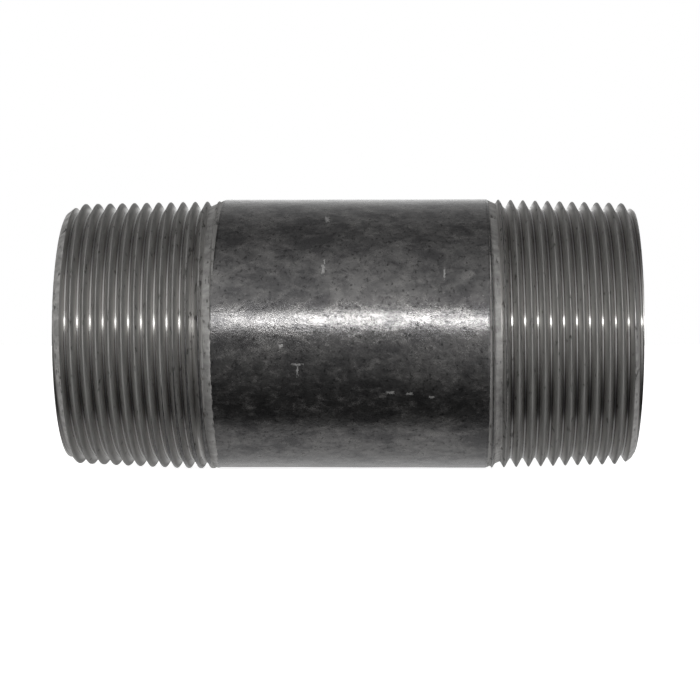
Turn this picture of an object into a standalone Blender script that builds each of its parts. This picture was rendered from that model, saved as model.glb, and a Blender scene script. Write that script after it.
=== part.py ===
"""Threaded pipe nipple, 1-1/2 in NPT by 4 in: a length of steel pipe with a tapered thread on each end.

The pipe lies along X, with the origin at its middle, on its own axis. A turn is counted from +Z round
towards -Y, so a right-hand thread moves along +X as the turn grows.
"""

import math

import bmesh
import bpy
from mathutils import Matrix

# Pipe, metres: nominal size 1-1/2, schedule 40
LENGTH = 0.1016
OUTSIDE_RADIUS = 0.04826 / 2
BORE_RADIUS = 0.04089 / 2

# American taper pipe thread, 11.5 threads to the inch
PITCH = 0.0254 / 11.5
PITCH_RADIUS_AT_END = 0.04562 / 2
THREAD_HEIGHT = 0.8 * PITCH
TAPER = 1 / 32
FLANK_SLOPE = 1 / math.tan(math.radians(30))
SHARP_CREST_HEIGHT = FLANK_SLOPE * PITCH / 4

# Each thread: how far it runs in from its end, and where its crests cross the top of the pipe
LEFT_THREAD_LENGTH = 0.0273
RIGHT_THREAD_LENGTH = 0.0260
LEFT_CREST_X = -0.04801
RIGHT_CREST_X = 0.02662
RUNOUT_SLOPE = 0.45

# Chamfer that leads the thread in
FACE_RADIUS = 0.0224
CHAMFER_ANGLE = math.radians(42)
CHAMFER_DEPTH = 0.0025
CUTTER_MARGIN = 0.003

GAP = 0.0003
COLUMNS = 48
HALF_COLUMN = math.pi / COLUMNS
CORNERS_PER_TOOTH = 4
MERGE_DISTANCE = 1e-6
SHARP_ANGLE = math.radians(35)

PARTS_NAME = "threaded_pipe_nipple"
CUTTERS_NAME = "cutters"


def clear_scene():
    for thing in list(bpy.data.objects):
        bpy.data.objects.remove(thing)


def add_collection(name):
    collection = bpy.data.collections.new(name)
    bpy.context.scene.collection.children.link(collection)
    return collection


def make_material(name, colour, roughness, metallic):
    material = bpy.data.materials.new(name)
    material.use_nodes = True
    shader = material.node_tree.nodes["Principled BSDF"]
    shader.inputs["Base Color"].default_value = (*colour, 1)
    shader.inputs["Roughness"].default_value = roughness
    shader.inputs["Metallic"].default_value = metallic
    return material


def add_object(name, mesh, collection):
    thing = bpy.data.objects.new(name, mesh)
    collection.objects.link(thing)
    return thing


def add_cutter(name, mesh, cutters):
    cutter = add_object(name, mesh, cutters)
    cutter.hide_render = True
    cutter.display_type = "WIRE"
    return cutter


def cut(target, cutter):
    boolean = target.modifiers.new(cutter.name, "BOOLEAN")
    boolean.operation = "DIFFERENCE"
    boolean.solver = "EXACT"
    boolean.object = cutter


class Thread:
    """One taper thread between two planes across the pipe."""

    def __init__(self, low_x, high_x, end_x, crest_x):
        self.low_x = low_x
        self.high_x = high_x
        self.end_x = end_x
        self.inner_x = high_x if end_x == low_x else low_x
        self.crest_x = crest_x

    def pitch_radius(self, x):
        return PITCH_RADIUS_AT_END + TAPER * abs(x - self.end_x)

    def crest_radius(self, x):
        return min(self.pitch_radius(x) + THREAD_HEIGHT / 2, OUTSIDE_RADIUS)

    def root_radius(self, x):
        """The bottom of the groove, which climbs out to the pipe's own surface at the run-out."""
        runout = OUTSIDE_RADIUS - RUNOUT_SLOPE * abs(x - self.inner_x)
        return min(max(self.pitch_radius(x) - THREAD_HEIGHT / 2, runout), OUTSIDE_RADIUS)

    def from_crest(self, x, radius):
        """How far along the axis a flank lies from its crest's middle, at a radius."""
        return (self.pitch_radius(x) + SHARP_CREST_HEIGHT - radius) / FLANK_SLOPE

    def radius(self, x, turn):
        teeth = (x - self.crest_x) / PITCH - turn
        from_crest = abs(teeth - round(teeth)) * PITCH
        flank = self.pitch_radius(x) + SHARP_CREST_HEIGHT - FLANK_SLOPE * from_crest
        return min(max(flank, self.root_radius(x)), self.crest_radius(x))

    def first_tooth(self):
        return math.floor((self.low_x - self.crest_x) / PITCH) - 1

    def tooth_count(self):
        return math.ceil((self.high_x - self.low_x) / PITCH) + 3

    def place(self, turn, row):
        """Where a grid's vertex goes: its row is one of a tooth's four corners, wound round the pipe."""
        tooth, corner = divmod(row, CORNERS_PER_TOOTH)
        crest_x = self.crest_x + (self.first_tooth() + tooth + turn) * PITCH
        at = min(max(crest_x, self.low_x), self.high_x)
        to_root = self.from_crest(at, self.root_radius(at))
        to_crest = self.from_crest(at, self.crest_radius(at))
        offset = (-to_root, -to_crest, to_crest, to_root)[corner]
        x = min(max(crest_x + offset, self.low_x), self.high_x)
        return on_pipe(x, self.radius(x, turn), turn)


def on_pipe(x, radius, turn):
    angle = math.tau * turn + HALF_COLUMN
    return (x, -radius * math.sin(angle), radius * math.cos(angle))


def thread_mesh(name, thread):
    """The threaded outside, as a grid wound once round the pipe and closed by a flat face at each end."""
    rows = thread.tooth_count() * CORNERS_PER_TOOTH
    skin = bmesh.new()
    bmesh.ops.create_grid(skin, x_segments=COLUMNS, y_segments=rows, size=1)
    for vertex in skin.verts:
        turn = (vertex.co.x + 1) / 2
        row = round((vertex.co.y + 1) / 2 * rows)
        vertex.co = thread.place(turn, row)
    bmesh.ops.remove_doubles(skin, verts=skin.verts, dist=MERGE_DISTANCE)
    bmesh.ops.holes_fill(skin, edges=skin.edges)
    bmesh.ops.recalc_face_normals(skin, faces=skin.faces)
    mesh = bpy.data.meshes.new(name)
    skin.to_mesh(mesh)
    skin.free()
    return mesh


def cylinder_mesh(name, radius, length):
    """A cylinder along Z, to be laid along X with a flat of its side down."""
    solid = bmesh.new()
    bmesh.ops.create_cone(
        solid,
        cap_ends=True,
        segments=COLUMNS,
        radius1=radius,
        radius2=radius,
        depth=length,
        matrix=Matrix.Rotation(HALF_COLUMN, 4, "Z"),
    )
    mesh = bpy.data.meshes.new(name)
    solid.to_mesh(mesh)
    solid.free()
    return mesh


def lay_along_x(thing, x):
    thing.rotation_euler = (0, math.pi / 2, 0)
    thing.location = (x, 0, 0)


def add_bore_cutter(cutters):
    mesh = cylinder_mesh("bore_cutter", BORE_RADIUS, LENGTH + 2 * CUTTER_MARGIN)
    cutter = add_cutter("bore_cutter", mesh, cutters)
    lay_along_x(cutter, 0)
    return cutter


def add_chamfer_cutter(name, end_x, cutters):
    """A turned ring whose inner face is the chamfer, with its narrow end at the pipe's end."""
    rise = CHAMFER_DEPTH * math.tan(CHAMFER_ANGLE)
    overrun = CUTTER_MARGIN * math.tan(CHAMFER_ANGLE)
    outline = [
        (FACE_RADIUS - overrun, CUTTER_MARGIN),
        (OUTSIDE_RADIUS + CUTTER_MARGIN, CUTTER_MARGIN),
        (FACE_RADIUS + rise, -CHAMFER_DEPTH),
    ]
    mesh = bpy.data.meshes.new(name)
    corners = [(radius, 0, height) for radius, height in outline]
    mesh.from_pydata(corners, [(0, 1), (1, 2), (2, 0)], [])
    cutter = add_cutter(name, mesh, cutters)
    turning = cutter.modifiers.new("turning", "SCREW")
    turning.steps = COLUMNS
    turning.render_steps = COLUMNS
    turning.use_merge_vertices = True
    turning.merge_threshold = MERGE_DISTANCE
    cutter.rotation_euler = (0, math.copysign(math.pi / 2, end_x), 0)
    cutter.location = (end_x, 0, 0)
    return cutter


def finish_round(thing, material):
    thing.data.materials.append(material)
    thing.data.shade_smooth()
    thing.data.set_sharp_from_angle(angle=SHARP_ANGLE)


def add_thread(name, thread, bore_cutter, steel, parts, cutters):
    thing = add_object(name, thread_mesh(name, thread), parts)
    finish_round(thing, steel)
    cut(thing, add_chamfer_cutter(f"{name}_chamfer_cutter", thread.end_x, cutters))
    cut(thing, bore_cutter)


def add_barrel(low_x, high_x, bore_cutter, lacquer, parts):
    mesh = cylinder_mesh("barrel", OUTSIDE_RADIUS, high_x - low_x)
    barrel = add_object("barrel", mesh, parts)
    lay_along_x(barrel, (low_x + high_x) / 2)
    finish_round(barrel, lacquer)
    cut(barrel, bore_cutter)


def build():
    clear_scene()
    parts = add_collection(PARTS_NAME)
    cutters = add_collection(CUTTERS_NAME)
    lacquer = make_material("black_mill_scale", (0.06, 0.06, 0.065), 0.38, 0.6)
    steel = make_material("cut_steel", (0.42, 0.41, 0.40), 0.34, 1.0)
    bore_cutter = add_bore_cutter(cutters)

    left_end = -LENGTH / 2
    right_end = LENGTH / 2
    left_runout = left_end + LEFT_THREAD_LENGTH
    right_runout = right_end - RIGHT_THREAD_LENGTH
    left = Thread(left_end, left_runout, left_end, LEFT_CREST_X)
    right = Thread(right_runout, right_end, right_end, RIGHT_CREST_X)
    add_thread("thread_left", left, bore_cutter, steel, parts, cutters)
    add_barrel(left_runout + GAP, right_runout - GAP, bore_cutter, lacquer, parts)
    add_thread("thread_right", right, bore_cutter, steel, parts, cutters)


build()
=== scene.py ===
import math
from dataclasses import dataclass

import bmesh
import bpy
import numpy as np
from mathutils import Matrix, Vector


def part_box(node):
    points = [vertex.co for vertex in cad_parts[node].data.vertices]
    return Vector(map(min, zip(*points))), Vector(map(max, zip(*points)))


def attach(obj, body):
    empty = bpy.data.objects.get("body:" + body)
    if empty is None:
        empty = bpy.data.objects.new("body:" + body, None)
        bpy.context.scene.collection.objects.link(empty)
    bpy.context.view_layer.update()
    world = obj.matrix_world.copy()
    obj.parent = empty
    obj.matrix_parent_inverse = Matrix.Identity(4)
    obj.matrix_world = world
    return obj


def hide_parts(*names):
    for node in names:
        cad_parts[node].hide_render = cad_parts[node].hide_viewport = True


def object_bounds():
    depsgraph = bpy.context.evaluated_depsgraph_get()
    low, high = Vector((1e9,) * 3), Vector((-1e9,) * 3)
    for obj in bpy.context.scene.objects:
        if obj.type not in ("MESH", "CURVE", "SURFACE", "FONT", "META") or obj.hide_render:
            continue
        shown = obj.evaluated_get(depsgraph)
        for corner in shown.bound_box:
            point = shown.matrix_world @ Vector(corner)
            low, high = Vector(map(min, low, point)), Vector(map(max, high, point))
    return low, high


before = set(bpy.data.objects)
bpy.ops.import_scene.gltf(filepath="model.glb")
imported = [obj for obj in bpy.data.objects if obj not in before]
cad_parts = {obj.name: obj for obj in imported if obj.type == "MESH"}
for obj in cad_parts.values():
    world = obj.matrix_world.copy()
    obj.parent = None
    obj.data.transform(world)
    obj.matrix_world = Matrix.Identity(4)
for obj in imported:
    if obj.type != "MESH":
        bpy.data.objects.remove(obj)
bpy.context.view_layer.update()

# A steel pipe nipple, threaded at both ends. It lies along X with its axis through the origin, and
# its front faces -Y. A turn goes from 0 to 1 once round the pipe, from +Z and by way of -Y.
# Lengths are in metres.
MM = 0.001
OUTSIDE_RADIUS = 24.25 * MM  # 24.13 on the nominal pipe
BORE_RADIUS = 20.445 * MM
BORE_EDGE = 0.35 * MM  # how wide the bore's two ends are deburred
SKIN_WAVE = 0.010 * MM

# The low bead that a lengthwise weld leaves in the bore
BEAD_TURN = 0.56
BEAD_WIDTH = 1.1 * MM
BEAD_HEIGHT = 0.35 * MM

# Thread form: 60 degree vee, 11.5 threads to the inch, one in sixteen taper on diameter
PITCH = 25.4 / 11.5 * MM
TAPER = 1 / 32
FLANK_SLOPE = math.sqrt(3)
RUNOUT_SLOPE = 0.45

# Over what height each corner of the cut metal is rounded
CREST_SOFTNESS = 0.14 * MM
ROOT_SOFTNESS = 0.12 * MM
RUNOUT_SOFTNESS = 0.06 * MM
CHAMFER_SOFTNESS = 0.10 * MM
BURR_SOFTNESS = 0.08 * MM

# How far a torn crest may stand above the pipe's skin, and the stretch before the run-out's end
# over which that fades to nothing
BURR = 0.20 * MM
BURR_FADE = 1.0 * MM

# Mesh density. TOOTH_ROWS are places along one tooth, in pitches from its crest.
COLUMNS = 432
TOOTH_ROWS = (
    -0.44, -0.37, -0.28, -0.19, -0.11, -0.06, -0.02, 0.02, 0.06, 0.11, 0.19, 0.28, 0.37, 0.44
)
RUNOUT_LENGTH = 2.4 * MM
RUNOUT_ROWS = 25
BARREL_ROWS = 60
BORE_ROWS = 14
END_FACE_SHARES = (0.12, 0.5, 1.0)  # shares of the way from the chamfer in to the bore's edge
MERGE_DISTANCE = 2e-7
SHARP_ANGLE = math.radians(50)


def smooth_min(a, b, softness):
    """The smaller of two heights, with the corner between them rounded over that height."""
    blend = np.clip(0.5 + 0.5 * (b - a) / softness, 0, 1)
    return b + (a - b) * blend - softness * blend * (1 - blend)


def smooth_max(a, b, softness):
    return -smooth_min(-a, -b, softness)


@dataclass
class Thread:
    """One die-cut thread, from the pipe's end to the run-out: how deep and how centred the die ran."""

    end_x: float
    crest_x: float  # where a crest passes turn 0
    pitch_radius: float  # at the pipe's end
    crest_height: float  # above the pitch line
    root_depth: float  # below the pitch line
    runout_x: float  # where the run-out reaches the pipe's skin
    low_at_end: float  # how far the die's axis lay below the pipe's, at the pipe's end
    lean: float  # how much lower it lay for each metre inward
    ring: tuple  # the run-out's pale band, as on_ring reads it
    face_radius: float  # where the chamfer meets the end face
    chamfer_slope: float
    chamfer_low_by: float  # how far the chamfer's axis lies below the pipe's
    chamfer_roughness: float
    chamfer_pale: float  # what the chamfer's brightness is multiplied by
    dull_from: float  # the height above the pitch line at which the crests' dull metal begins
    seed: int  # shifts the waves along the crests

    @property
    def inward(self):
        return -math.copysign(1, self.end_x)

    def from_end(self, x):
        return (x - self.end_x) * self.inward

    def low_by(self, x):
        """How far the die's axis lay below the pipe's."""
        return self.low_at_end + self.lean * self.from_end(x)

    def cut(self, x, turn):
        """The radius that the die leaves at x and turn, wherever it cuts."""
        pitch_radius = self.pitch_radius + TAPER * self.from_end(x)
        teeth = (x - self.crest_x) / PITCH - turn
        tooth = np.round(teeth)
        from_crest = np.abs(teeth - tooth) * PITCH
        vee = pitch_radius + (PITCH / 4 - from_crest) * FLANK_SLOPE
        crest = pitch_radius + self.crest_height + self.crest_wear(tooth, turn)
        root = pitch_radius - self.root_depth
        radius = smooth_min(vee, crest, CREST_SOFTNESS)
        radius = smooth_max(radius, root, ROOT_SOFTNESS)
        floor = OUTSIDE_RADIUS - RUNOUT_SLOPE * (self.runout_x - x) * self.inward
        radius = smooth_max(radius, floor, RUNOUT_SOFTNESS)
        return radius - self.low_by(x) * np.cos(math.tau * turn)

    def crest_wear(self, tooth, turn):
        """Slow and fast waves along the crest, where the die tore the metal."""
        along = (tooth + turn) * math.tau
        wave = np.sin(along * 3.7 + self.seed) * np.sin(along * 1.3 + 2 * self.seed)
        ripple = np.sin(along * 17.3 + 3 * self.seed) * np.sin(along * 11.9 + self.seed)
        return (0.022 * wave + 0.018 * ripple - 0.02) * MM

    def burr(self, x):
        """How far a torn crest may stand above the pipe's own skin; nothing past the run-out."""
        return BURR * np.clip((self.runout_x - x) * self.inward / BURR_FADE, 0, 1)

    def chamfer(self, x, turn):
        """The chamfer, turned a little low on the pipe."""
        bevel = self.face_radius + self.chamfer_slope * np.maximum(self.from_end(x), 0)
        return bevel - self.chamfer_low_by * np.cos(math.tau * turn)

    def radius(self, x, turn):
        skin = pipe_surface(x, turn)
        radius = smooth_min(self.cut(x, turn), skin + self.burr(x), BURR_SOFTNESS)
        return smooth_min(radius, self.chamfer(x, turn), CHAMFER_SOFTNESS)


half_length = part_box("thread_right")[1][0]
left_seam = (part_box("thread_left")[1][0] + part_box("barrel")[0][0]) / 2
right_seam = (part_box("barrel")[1][0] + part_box("thread_right")[0][0]) / 2

left_thread = Thread(
    end_x=-half_length,
    crest_x=-48.01 * MM,
    pitch_radius=22.70 * MM,
    crest_height=0.84 * MM,
    root_depth=0.66 * MM,
    runout_x=-23.35 * MM,
    low_at_end=0.03 * MM,
    lean=0.0132,
    ring=(-24.85 * MM, -0.25 * MM, 0.85 * MM, 0.63 * MM),
    face_radius=22.2 * MM,
    chamfer_slope=0.75,
    chamfer_low_by=0.14 * MM,
    chamfer_roughness=0.60,
    chamfer_pale=1.6,
    dull_from=-0.32 * MM,
    seed=1,
)
right_thread = Thread(
    end_x=half_length,
    crest_x=26.62 * MM,
    pitch_radius=22.64 * MM,
    crest_height=0.85 * MM,
    root_depth=0.80 * MM,
    runout_x=24.35 * MM,
    low_at_end=0.0,
    lean=0.0,
    ring=(26.10 * MM, -0.50 * MM, -0.30 * MM, 0.62 * MM),
    face_radius=22.2 * MM,
    chamfer_slope=0.75,
    chamfer_low_by=0.0,
    chamfer_roughness=0.36,
    chamfer_pale=1.15,
    dull_from=-0.08 * MM,
    seed=4,
)


# ---------------------------------------------------------------- surfaces


def pipe_surface(x, turn):
    """The rolled pipe's own skin: round, with the faint waves that rolling leaves."""
    angle = math.tau * turn
    along = x / MM
    wave = np.sin(along * 0.31 + 1.3) * np.cos(2 * angle + 0.4)
    wave = wave + 0.7 * np.sin(along * 0.83 + 3 * angle) * np.cos(5 * angle + 1.1)
    wave = wave + 0.45 * np.sin(along * 1.9 - 7 * angle) * np.sin(11 * angle + 0.6)
    return OUTSIDE_RADIUS + SKIN_WAVE * wave


def surface_radius(x, turn):
    """The outside of the whole pipe: threads, run-outs and plain barrel alike."""
    x = np.asarray(x)
    left = left_thread.radius(x, turn)
    right = right_thread.radius(x, turn)
    return np.where(x < 0, left, right)


def bore_radius(x, turn):
    """The bore, with the low bead that the lengthwise weld leaves inside."""
    from_bead = (turn - BEAD_TURN + 0.5) % 1 - 0.5
    across = from_bead * math.tau * BORE_RADIUS / BEAD_WIDTH
    ripple = 1 + 0.25 * np.sin(x / MM * 2.9) * np.sin(x / MM * 1.7 + 1)
    return BORE_RADIUS - BEAD_HEIGHT * ripple * np.exp(-(across**2))


def on_pipe(x, radius, turn):
    angle = math.tau * turn
    return np.stack([x, -radius * np.sin(angle), radius * np.cos(angle)], axis=-1)


# ---------------------------------------------------------------- meshes


def tube(name, rows, low_x, high_x):
    """A closed tube: its outside rows, then the bore, with the end face of any end that has one.

    rows holds an x for each row and column; the columns run once round, from turn 0 to turn 1.
    A seam between two pieces has no face rings: its outside and its bore are joined directly.
    """
    faced_low, faced_high = low_x == -half_length, high_x == half_length
    turn = np.broadcast_to(np.linspace(0, 1, rows.shape[1]), rows.shape)
    x = np.clip(rows, low_x, high_x)
    rings = [on_pipe(x, surface_radius(x, turn), turn)]
    around = turn[:1]
    bore_x = np.linspace(high_x, low_x, BORE_ROWS)
    if faced_high:
        rings += end_rings(high_x, around)
        bore_x[0] -= BORE_EDGE
    if faced_low:
        bore_x[-1] += BORE_EDGE
    for at in bore_x:
        ring_x = np.full_like(around, at)
        rings.append(on_pipe(ring_x, bore_radius(ring_x, around), around))
    if faced_low:
        rings += end_rings(low_x, around)[::-1]
    return closed_mesh(name, np.concatenate(rings))


def end_rings(end_x, turn):
    """Rings across an end face, from the outside in to where the deburred edge of the bore starts."""
    x = np.full_like(turn, end_x)
    outer = surface_radius(x, turn)
    inner = bore_radius(x, turn) + BORE_EDGE
    return [on_pipe(x, outer + (inner - outer) * share, turn) for share in END_FACE_SHARES]


def closed_mesh(name, rings):
    """Quads between neighbouring rings, the last one joined to the first."""
    count, columns = rings.shape[:2]
    index = np.arange(count * columns).reshape(count, columns)
    following = np.roll(index, -1, axis=0)
    corners = [index[:, :-1], index[:, 1:], following[:, 1:], following[:, :-1]]
    quads = np.stack(corners, axis=-1).reshape(-1, 4)
    mesh = bpy.data.meshes.new(name)
    mesh.from_pydata(rings.reshape(-1, 3).tolist(), [], quads.tolist())
    solid = bmesh.new()
    solid.from_mesh(mesh)
    bmesh.ops.remove_doubles(solid, verts=solid.verts, dist=MERGE_DISTANCE)
    bmesh.ops.dissolve_degenerate(solid, edges=solid.edges, dist=MERGE_DISTANCE)
    bmesh.ops.recalc_face_normals(solid, faces=solid.faces)
    solid.to_mesh(mesh)
    solid.free()
    return mesh


def thread_rows(thread, low_x, high_x):
    """An x for each row and column of a thread's grid, each row winding along one line of the tooth."""
    first = math.floor((low_x - thread.crest_x) / PITCH) - 1
    last = math.ceil((high_x - thread.crest_x) / PITCH) + 1
    teeth = np.arange(first, last + 1)
    along = (teeth[:, None] + np.array(TOOTH_ROWS)[None, :]).reshape(-1, 1)
    turn = np.linspace(0, 1, COLUMNS + 1)[None, :]
    return thread.crest_x + (along + turn) * PITCH


def barrel_rows(low_x, high_x):
    """Flat rows across the barrel, close together near the run-outs at its ends."""
    fine = np.linspace(0, RUNOUT_LENGTH, RUNOUT_ROWS)
    middle = np.linspace(low_x + fine[-1], high_x - fine[-1], BARREL_ROWS)[1:-1]
    x = np.concatenate([low_x + fine, middle, (high_x - fine)[::-1]])
    return np.broadcast_to(x[:, None], (len(x), COLUMNS + 1))


def add_piece(name, mesh, node, material):
    piece = bpy.data.objects.new(name, mesh)
    bpy.context.scene.collection.objects.link(piece)
    mesh.materials.append(material)
    mesh.shade_smooth()
    mesh.set_sharp_from_angle(angle=SHARP_ANGLE)
    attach(piece, "root")
    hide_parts(node)


# ---------------------------------------------------------------- materials

# Each metal's darker and paler colour, which its noise mixes
SCALE_COLOURS = (0.070, 0.069, 0.070, 1), (0.150, 0.147, 0.145, 1)
GROOVE_COLOURS = (0.39, 0.383, 0.372, 1), (0.51, 0.502, 0.490, 1)
CREST_COLOURS = (0.27, 0.265, 0.258, 1), (0.40, 0.394, 0.384, 1)
RING_COLOURS = (0.26, 0.255, 0.249), (0.42, 0.414, 0.404)
BORE_COLOURS = (0.075, 0.073, 0.072, 1), (0.19, 0.185, 0.178, 1)

SCALE_DUST = (0.18, 0.175, 0.170, 1)
SCALE_PIT = (0.02, 0.02, 0.02, 1)
# Dark steel for the bottoms of the thread grooves: painted shade in the roots
PAINTED_ROOT_SHADE = (0.17, 0.167, 0.162, 1)
TORN_METAL = (0.05, 0.048, 0.045, 1)
NICK_METAL = (0.38, 0.375, 0.37, 1)

CREST_ROUGHNESS = 0.60
BAND_ROUGHNESS = 0.54
BAND_PALE = 1.2
BORE_ROUGHNESS = 0.46
NICK_ROUGHNESS = 0.45

# Distances above a thread's pitch line, and in from its end, over which its steel changes
ROOT_TO_FLANK = (-0.78 * MM, -0.45 * MM)
DULL_OVER = 0.52 * MM
WEAR_OVER = (17 * MM, 24 * MM)

# Edges between finishes, each from none to full
CHAMFER_EDGE = (-0.14 * MM, -0.05 * MM)  # radius past the chamfer's cone
FACE_EDGE = (0.08 * MM, 0.03 * MM)  # distance in from the end face
CUT_EDGE = (0.03 * MM, 0.06 * MM)  # depth below the pipe's skin
BORE_WALL_EDGE = (BORE_RADIUS + 0.32 * MM, BORE_RADIUS + 0.20 * MM)
BAND_BLUR = 0.06 * MM
BAND_TURNING = 0.52  # how far sideways, up to 1, before the band's drift is complete

# Bright nicks in the barrel's scale at the front: x, z, half width along x and half height, in mm
NICKS = (
    (-4.1, 11.0, 0.22, 0.75),
    (-3.9, 12.3, 0.12, 0.35),
    (16.7, 10.4, 0.14, 0.65),
    (-8.5, -5.3, 0.75, 0.16),
    (-8.4, -6.2, 0.15, 0.90),
    (-11.2, -2.1, 0.30, 0.26),
    (7.4, -10.1, 0.60, 0.20),
    (10.7, -10.3, 0.50, 0.18),
    (14.6, -10.9, 0.50, 0.15),
    (-3.7, 20.0, 0.28, 0.40),
)
NICK_RAGGEDNESS = 3.2
NICK_SHARE = 0.62


class Graph:
    """Short names for building a material's or a world's nodes."""

    def __init__(self, owner):
        self.tree = owner.node_tree
        self.tree.nodes.clear()

    def node(self, kind, settings=None, **inputs):
        made = self.tree.nodes.new(kind)
        for name, value in (settings or {}).items():
            setattr(made, name, value)
        for name, value in inputs.items():
            self.set(made, name.replace("_", " "), value)
        return made

    def set(self, made, socket, value):
        """Link a value that is a socket, and store one that isn't."""
        target = made.inputs[socket]
        if isinstance(value, bpy.types.NodeSocket):
            self.tree.links.new(value, target)
        else:
            target.default_value = value

    def show(self, shader, output="ShaderNodeOutputMaterial"):
        self.set(self.node(output), "Surface", shader.outputs[0])

    def math(self, operation, first, second=0.0):
        made = self.node("ShaderNodeMath", {"operation": operation})
        self.set(made, 0, first)
        self.set(made, 1, second)
        return made.outputs[0]

    def add(self, first, second):
        return self.math("ADD", first, second)

    def minus(self, first, second):
        return self.math("SUBTRACT", first, second)

    def times(self, first, second):
        return self.math("MULTIPLY", first, second)

    def over(self, first, second):
        return self.math("DIVIDE", first, second)

    def larger(self, first, second):
        return self.math("MAXIMUM", first, second)

    def size(self, value):
        return self.math("ABSOLUTE", value)

    def ramp(self, value, low, high, start=0.0, end=1.0):
        """value mapped from low..high to start..end, held at both ends."""
        made = self.node(
            "ShaderNodeMapRange", Value=value, From_Min=low, From_Max=high, To_Min=start, To_Max=end
        )
        return made.outputs["Result"]

    def blend(self, factor, first, second):
        """One number between two others."""
        return self.add(first, self.times(self.minus(second, first), factor))

    def mix(self, factor, first, second):
        """One colour between two others: the Mix node's inputs 6 and 7, and its output 2."""
        made = self.node("ShaderNodeMix", {"data_type": "RGBA"})
        for socket, value in ((0, factor), (6, first), (7, second)):
            self.set(made, socket, value)
        return made.outputs[2]

    def where(self):
        """The point's place on the object."""
        return self.node("ShaderNodeTexCoord").outputs["Object"]

    def parts(self, vector):
        return self.node("ShaderNodeSeparateXYZ", Vector=vector).outputs

    def noise(self, scale, detail=4.0, roughness=0.55, distortion=0.0, stretch=(1, 1, 1)):
        """Noise whose lumps are about one over scale across, in object space."""
        placed = self.node("ShaderNodeMapping", Vector=self.where(), Scale=stretch)
        made = self.node(
            "ShaderNodeTexNoise",
            Vector=placed.outputs["Vector"],
            Scale=scale,
            Detail=detail,
            Roughness=roughness,
            Distortion=distortion,
        )
        return made.outputs["Fac"]

    def bump(self, height, distance, strength=1.0, below=None):
        made = self.node("ShaderNodeBump", Height=height, Distance=distance, Strength=strength)
        if below is not None:
            self.set(made, "Normal", below)
        return made.outputs["Normal"]

    def place(self):
        """The point's x, its distance from the axis, and the cosine and absolute sine of its turn."""
        parts = self.parts(self.where())
        squares = self.add(self.times(parts["Y"], parts["Y"]), self.times(parts["Z"], parts["Z"]))
        radius = self.math("SQRT", squares)
        sideways = self.size(self.over(parts["Y"], radius))
        return parts["X"], radius, self.over(parts["Z"], radius), sideways


def new_material(name):
    material = bpy.data.materials.new(name)
    material.use_nodes = True
    return material, Graph(material)


def coated(graph, colour, metallic, roughness, normal):
    return graph.node(
        "ShaderNodeBsdfPrincipled",
        Base_Color=colour,
        Metallic=metallic,
        Roughness=roughness,
        Normal=normal,
    )


def combined(graph, share, first, second):
    made = graph.node("ShaderNodeMixShader", Fac=share)
    graph.set(made, 1, first.outputs[0])
    graph.set(made, 2, second.outputs[0])
    return made


def scale_shader(graph):
    """Black mill scale: clouded, dusty where it was rubbed, and finely pitted."""
    broad = graph.noise(150, detail=8, roughness=0.68, distortion=0.3, stretch=(0.6, 1, 1))
    middle = graph.noise(520, detail=6, roughness=0.7, distortion=0.4, stretch=(0.7, 1, 1))
    fine = graph.noise(1700, detail=5, roughness=0.7, stretch=(0.8, 1, 1))
    grain = graph.noise(3300, detail=2, roughness=0.6)
    rub = graph.noise(560, detail=8, roughness=0.78, stretch=(0.7, 1, 1))
    cloud = graph.add(graph.times(broad, 0.5), graph.times(middle, 0.5))
    patch = graph.ramp(cloud, 0.42, 0.60)
    dust = graph.times(graph.ramp(rub, 0.48, 0.64), graph.ramp(cloud, 0.42, 0.56))
    dust = graph.times(dust, 0.66)
    pit = graph.times(graph.ramp(graph.noise(1500, detail=4, roughness=0.7), 0.56, 0.66), 0.75)
    colour = graph.mix(patch, *SCALE_COLOURS)
    colour = graph.mix(dust, colour, SCALE_DUST)
    colour = graph.mix(pit, colour, SCALE_PIT)
    roughness = graph.blend(patch, 0.22, 0.17)
    roughness = graph.add(roughness, graph.ramp(grain, 0.35, 0.7, -0.03, 0.06))
    roughness = graph.add(roughness, graph.times(dust, 0.14))
    height = graph.add(graph.times(fine, 0.6), graph.times(grain, 0.45))
    normal = graph.bump(height, 0.008 * MM)
    normal = graph.bump(middle, 0.04 * MM, below=normal)
    normal = graph.bump(broad, 0.05 * MM, below=normal)
    return coated(graph, colour, graph.blend(dust, 0.94, 0.55), roughness, normal)


def torn_spots(graph, wear, low, high):
    """Dark pits where the metal tore; wear, from 0 to 1, spreads them."""
    tears = graph.noise(1050, detail=5, roughness=0.62, stretch=(1.3, 0.5, 0.5))
    tears = graph.add(tears, graph.times(wear, 0.045))
    return graph.times(graph.ramp(tears, low, high), 0.8)


def groove_shader(graph, above, wear):
    """Steel between the crests, with the die's fine lines round the pipe, and with shade painted into
    the roots as a darker steel colour.
    """
    lines = graph.noise(40, detail=3, roughness=0.6, stretch=(90, 1.6, 1.6))
    clean = graph.mix(graph.ramp(lines, 0.3, 0.7), *GROOVE_COLOURS)
    flank = graph.ramp(above, *ROOT_TO_FLANK)
    # Painted shade: the roots' darker steel, fading to the clean colour up the flanks
    colour = graph.mix(flank, PAINTED_ROOT_SHADE, clean)
    colour = graph.mix(torn_spots(graph, wear, 0.64, 0.72), colour, TORN_METAL)
    normal = graph.bump(lines, 0.02 * MM, 0.5)
    shader = coated(graph, colour, 1.0, graph.blend(flank, 0.13, 0.38), normal)
    shader.inputs["Anisotropic"].default_value = 0.7
    shader.inputs["Anisotropic Rotation"].default_value = 0.25
    around = graph.node("ShaderNodeTangent", {"direction_type": "RADIAL", "axis": "X"})
    graph.set(shader, "Tangent", around.outputs[0])
    return shader


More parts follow.
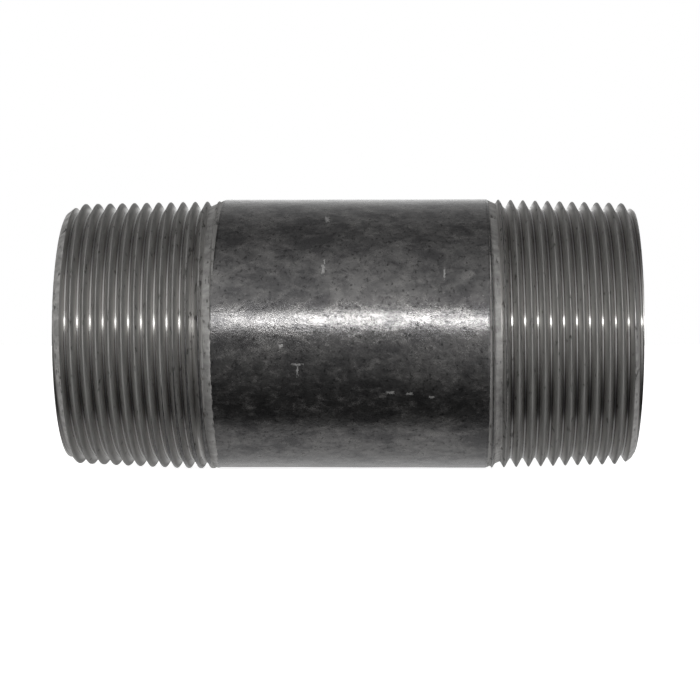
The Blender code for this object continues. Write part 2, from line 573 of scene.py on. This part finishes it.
def crest_shader(graph, wear):
    """Steel torn dull by the die."""
    lines = graph.noise(55, detail=4, roughness=0.65, stretch=(60, 3, 3))
    torn = torn_spots(graph, wear, 0.60, 0.70)
    colour = graph.mix(graph.ramp(lines, 0.3, 0.7), *CREST_COLOURS)
    colour = graph.mix(torn, colour, TORN_METAL)
    normal = graph.bump(graph.minus(lines, torn), 0.03 * MM, 0.6)
    return coated(graph, colour, 1.0, CREST_ROUGHNESS, normal)


def ring_shader(graph, roughness, pale):
    """Matt steel with chatter marks across it, for chamfers, end faces and the run-outs' bands."""
    chatter = graph.noise(500, detail=4, roughness=0.6, stretch=(0.5, 1.6, 1.6))
    dark, light = ([part * pale for part in colour] + [1] for colour in RING_COLOURS)
    colour = graph.mix(graph.ramp(chatter, 0.35, 0.65), dark, light)
    colour = graph.mix(torn_spots(graph, 0.3, 0.60, 0.70), colour, TORN_METAL)
    return coated(graph, colour, 1.0, roughness, graph.bump(chatter, 0.06 * MM, 0.8))


def bore_shader(graph):
    """The bore's dull grey scale, the same from end to end."""
    cloud = graph.noise(220, detail=7, roughness=0.68, stretch=(0.5, 1, 1))
    grain = graph.noise(1900, detail=4, roughness=0.7)
    colour = graph.mix(graph.ramp(cloud, 0.38, 0.62), *BORE_COLOURS)
    normal = graph.bump(graph.add(cloud, graph.times(grain, 0.4)), 0.05 * MM, 0.8)
    return coated(graph, colour, 0.75, BORE_ROUGHNESS, normal)


def on_ring(graph, thread, x, upward, sideways):
    """1 on the pale band of a run-out, 0 off it.

    The thread's ring gives the x of the band's middle, how far that moves towards the top and
    towards the sides, and half the band's width.
    """
    middle, towards_top, towards_side, half_width = thread.ring
    turned = graph.ramp(sideways, 0.0, BAND_TURNING)
    drift = graph.add(graph.times(upward, towards_top), graph.times(turned, towards_side))
    ragged = graph.times(graph.minus(graph.noise(900, detail=4), 0.5), 0.5 * MM)
    offset = graph.minus(graph.add(x, ragged), graph.add(drift, middle))
    return graph.ramp(graph.size(offset), half_width + BAND_BLUR, half_width - BAND_BLUR)


def on_nicks(graph):
    """1 on the nicks, 0 off them, with ragged edges."""
    parts = graph.parts(graph.where())
    ragged = graph.times(graph.minus(graph.noise(2600, detail=3), 0.5), NICK_RAGGEDNESS)
    on_any = 0.0
    for x, z, half_width, half_height in NICKS:
        along = graph.over(graph.size(graph.minus(parts["X"], x * MM)), half_width * MM)
        up = graph.over(graph.size(graph.minus(parts["Z"], z * MM)), half_height * MM)
        reach = graph.add(graph.larger(along, up), ragged)
        on_any = graph.larger(on_any, graph.ramp(reach, 1.25, 0.75))
    return graph.times(on_any, graph.math("LESS_THAN", parts["Y"], 0.0))


def nicked(graph, skin):
    normal = graph.bump(graph.noise(2600), 0.02 * MM)
    bare = coated(graph, NICK_METAL, 0.6, NICK_ROUGHNESS, normal)
    return combined(graph, graph.times(on_nicks(graph), NICK_SHARE), skin, bare)


def thread_shader(graph, thread, x, radius, upward):
    """A thread's bare steel: grooves, crests, and the chamfer with the end face."""
    from_end = graph.times(graph.minus(x, thread.end_x), thread.inward)
    pitch_line = graph.add(graph.times(from_end, TAPER), thread.pitch_radius)
    low_by = graph.add(graph.times(from_end, thread.lean), thread.low_at_end)
    centred = graph.add(radius, graph.times(upward, low_by))
    above = graph.minus(centred, pitch_line)
    wear = graph.ramp(from_end, *WEAR_OVER)
    dull = graph.ramp(above, thread.dull_from, thread.dull_from + DULL_OVER)
    steel = combined(graph, dull, groove_shader(graph, above, wear), crest_shader(graph, wear))
    bevel = graph.add(graph.times(from_end, thread.chamfer_slope), thread.face_radius)
    bevel = graph.minus(bevel, graph.times(upward, thread.chamfer_low_by))
    bevelled = graph.ramp(graph.minus(radius, bevel), *CHAMFER_EDGE)
    turned = graph.larger(bevelled, graph.ramp(from_end, *FACE_EDGE))
    matt = ring_shader(graph, thread.chamfer_roughness, thread.chamfer_pale)
    return combined(graph, turned, steel, matt)


def skin_material(name, thread=None):
    """Black scale wherever the die never reached, and bare steel below it."""
    material, graph = new_material(name)
    x, radius, upward, sideways = graph.place()
    skin = scale_shader(graph)
    if thread is None:
        skin = nicked(graph, skin)
        steel = crest_shader(graph, 1.0)
        bands = (left_thread, right_thread)
    else:
        steel = thread_shader(graph, thread, x, radius, upward)
        bands = (thread,)
    ragged = graph.times(graph.noise(1500, detail=3), 0.05 * MM)
    depth = graph.minus(graph.minus(OUTSIDE_RADIUS, radius), ragged)
    skin = combined(graph, graph.ramp(depth, *CUT_EDGE), skin, steel)
    for each in bands:
        band = ring_shader(graph, BAND_ROUGHNESS, BAND_PALE)
        skin = combined(graph, on_ring(graph, each, x, upward, sideways), skin, band)
    skin = combined(graph, graph.ramp(radius, *BORE_WALL_EDGE), skin, bore_shader(graph))
    graph.show(skin)
    return material


# ---------------------------------------------------------------- stage, light and camera

FLOOR_RADIUS = 4.0
FLOOR_COLOUR = (0.82, 0.82, 0.82, 1)
FLOOR_ROUGHNESS = 0.9
FLOOR_GLOW = 0.9
WHITE = (1, 1, 1, 1)

SENSOR_WIDTH = 36
LENS = 111.34
CLIP_START = 0.01
CAMERA_PLACE = (0.01185, -0.3926, 0.0)
CAMERA_PITCH = -0.435  # degrees up from level
CAMERA_YAW = 1.749  # degrees to the left of straight at the front

# Light round the pipe's axis, as (degrees up from the front, brightness), as the left thread, the
# barrel and the right thread see it straight across the pipe. PEAK is the brightest.
PEAK = 1.5
TENT_LEFT = (
    (-180, 0.50), (-162, 0.58), (-142, 0.60), (-118, 0.56), (-100, 0.42), (-90, 0.34),
    (-82, 0.20), (-75, 0.07), (-60, 0.05), (-45, 0.09), (-37, 0.13), (-30, 0.20),
    (-22, 0.24), (-15, 0.38), (-7, 0.44), (0, 0.48), (8, 0.98), (22, 1.38),
    (37, 1.40), (52, 1.00), (65, 0.50), (80, 0.20), (99, 0.14), (112, 0.17),
    (130, 0.45), (160, 0.58), (180, PEAK),
)
TENT_MIDDLE = (
    (-180, 0.50), (-162, 0.62), (-142, 0.88), (-118, 0.92), (-108, 0.92), (-100, 0.98),
    (-92, 0.90), (-86, 0.48), (-80, 0.12), (-70, 0.06), (-60, 0.04), (-45, 0.12),
    (-38, 0.15), (-32, 0.19), (-25, 0.20), (-16, 0.25), (-8, 0.28), (0, 0.38),
    (8, 0.75), (24, 1.22), (50, 0.95), (65, 0.80), (77, 0.62), (84, 0.50),
    (91, 0.43), (99, 0.33), (107, 0.47), (117, 0.55), (140, 0.62), (180, PEAK),
)
TENT_RIGHT = (
    (-180, 0.50), (-162, 0.58), (-142, 0.72), (-118, 0.68), (-100, 0.58), (-90, 0.50),
    (-84, 0.26), (-78, 0.09), (-66, 0.06), (-52, 0.14), (-45, 0.21), (-38, 0.42),
    (-30, 0.60), (-22, 0.88), (-15, 1.20), (-8, 1.30), (0, 1.22), (8, 1.15),
    (22, 1.18), (37, 1.04), (52, 0.68), (66, 0.38), (80, 0.30), (95, 0.22),
    (108, 0.25), (121, 0.30), (140, 0.45), (160, 0.50), (180, PEAK),
)

# Between which values of the direction's X one table gives way to the next
LEFT_TO_MIDDLE = (-0.13, -0.09)
MIDDLE_TO_RIGHT = (0.03, 0.06)

# The narrow lamp that makes the bright streak, in shares of STRIP_LIGHT; the threads see it
# narrower. Each fade runs between two values of the direction's X, from one share to another.
STRIP_LIGHT = 29.0
STRIP = ((7.5, 0.0), (9.5, 1.0), (13, 1.0), (15.5, 0.0))
THREAD_STRIP = ((8.8, 0.0), (10.2, 1.0), (12.2, 1.0), (13.6, 0.0))
STRIP_TO_LEFT_THREAD = (-0.10, -0.13)
STRIP_TO_RIGHT_THREAD = (0.035, 0.06)
STRIP_FADE_LEFT = (-0.13, -0.03, 0.22, 1.0)
STRIP_FADE_RIGHT = (0.035, 0.06, 1.0, 0.38)

# Light from the two sides, for directions nearer to X
LEFT_SIDE = (
    (-180, 0.34), (-92, 0.32), (-60, 0.34), (-20, 0.36), (10, 0.50), (50, 0.50),
    (80, 0.10), (115, 0.10), (145, 0.35), (180, 1.00),
)
RIGHT_SIDE = (
    (-180, 0.35), (-140, 0.60), (-92, 0.60), (-60, 0.52), (-20, 0.52), (10, 0.45),
    (50, 0.38), (80, 0.06), (140, 0.05), (180, 1.00),
)
LEFT_TO_RIGHT_SIDE = (-0.2, 0.2)
TENT_TO_SIDE = (0.40, 0.85)


def add_stage():
    floor_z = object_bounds()[0][2]
    bpy.ops.mesh.primitive_circle_add(
        vertices=96, radius=FLOOR_RADIUS, fill_type="NGON", location=(0, 0, floor_z)
    )
    floor = bpy.context.object
    floor.name = "studio_floor"
    floor.data.materials.append(floor_material())
    bpy.ops.mesh.primitive_uv_sphere_add(segments=48, ring_count=24, radius=FLOOR_RADIUS)
    dome = bpy.context.object
    dome.name = "studio_dome"
    dome.data.materials.append(dome_material())
    for thing in (floor, dome):
        thing.visible_glossy = False
        thing.visible_diffuse = False
    dome.visible_shadow = False
    dome.visible_transmission = False


def dome_material():
    material, graph = new_material("studio_dome_white")
    graph.show(graph.node("ShaderNodeEmission", Color=WHITE, Strength=1.0))
    return material


def floor_material():
    """Pale, and glowing as a light table does, so that shadows stay faint."""
    material, graph = new_material("studio_floor_pale")
    shader = graph.node(
        "ShaderNodeBsdfPrincipled",
        Base_Color=FLOOR_COLOUR,
        Roughness=FLOOR_ROUGHNESS,
        Emission_Color=WHITE,
        Emission_Strength=FLOOR_GLOW,
    )
    graph.show(shader)
    return material


def light_ramp(graph, angle, table, peak=1.0):
    """A table of (degrees, brightness up to peak), as shares of peak in a colour ramp over the angle."""
    made = graph.node("ShaderNodeValToRGB", Fac=graph.ramp(angle, -math.pi, math.pi))
    stops = made.color_ramp.elements
    stops.remove(stops[-1])
    for index, (degrees, brightness) in enumerate(table):
        position = (degrees + 180) / 360
        stop = stops.new(position) if index else stops[0]
        stop.position = position
        stop.color = [brightness / peak] * 3 + [1]
    return made.outputs["Color"]


def add_light_tent():
    """A soft tent of light: its brightness depends on the direction round X, and on the X of it."""
    world = bpy.data.worlds.new("light_tent")
    world.use_nodes = True
    bpy.context.scene.world = world
    graph = Graph(world)
    towards = graph.parts(graph.node("ShaderNodeTexCoord").outputs["Generated"])
    along = towards["X"]
    angle = graph.math("ARCTAN2", towards["Z"], graph.times(towards["Y"], -1))

    tents = (TENT_LEFT, TENT_MIDDLE, TENT_RIGHT)
    left, middle, right = (light_ramp(graph, angle, table, PEAK) for table in tents)
    tent = graph.blend(graph.ramp(along, *LEFT_TO_MIDDLE), left, middle)
    tent = graph.blend(graph.ramp(along, *MIDDLE_TO_RIGHT), tent, right)
    tent = graph.times(tent, PEAK)

    strip = light_ramp(graph, angle, STRIP)
    thread_strip = light_ramp(graph, angle, THREAD_STRIP)
    on_left = graph.ramp(along, *STRIP_TO_LEFT_THREAD)
    on_right = graph.ramp(along, *STRIP_TO_RIGHT_THREAD)
    strip = graph.blend(graph.larger(on_left, on_right), strip, thread_strip)
    fade = graph.times(graph.ramp(along, *STRIP_FADE_LEFT), graph.ramp(along, *STRIP_FADE_RIGHT))
    tent = graph.add(tent, graph.times(graph.times(strip, STRIP_LIGHT), fade))

    left, right = (light_ramp(graph, angle, table) for table in (LEFT_SIDE, RIGHT_SIDE))
    side = graph.blend(graph.ramp(along, *LEFT_TO_RIGHT_SIDE), left, right)
    brightness = graph.blend(graph.ramp(graph.size(along), *TENT_TO_SIDE), tent, side)
    background = graph.node("ShaderNodeBackground", Color=WHITE, Strength=brightness)
    graph.show(background, "ShaderNodeOutputWorld")


def add_camera():
    data = bpy.data.cameras.new("camera")
    camera = bpy.data.objects.new("camera", data)
    bpy.context.scene.collection.objects.link(camera)
    data.sensor_width = SENSOR_WIDTH
    data.lens = LENS
    data.clip_start = CLIP_START
    camera.location = CAMERA_PLACE
    camera.rotation_euler = (math.radians(90 + CAMERA_PITCH), 0, math.radians(CAMERA_YAW))
    bpy.context.scene.camera = camera


def add_thread(side, thread, low_x, high_x):
    material = skin_material(f"{side}_thread_skin", thread)
    mesh = tube(f"thread_{side}_skin", thread_rows(thread, low_x, high_x), low_x, high_x)
    add_piece(f"thread_{side}_skin", mesh, f"thread_{side}", material)


def add_barrel(low_x, high_x):
    material = skin_material("barrel_skin")
    mesh = tube("barrel_skin", barrel_rows(low_x, high_x), low_x, high_x)
    add_piece("barrel_skin", mesh, "barrel", material)


add_thread("left", left_thread, -half_length, left_seam)
add_barrel(left_seam, right_seam)
add_thread("right", right_thread, right_seam, half_length)
add_stage()
add_light_tent()
add_camera()
bpy.context.scene.view_settings.view_transform = "Standard"
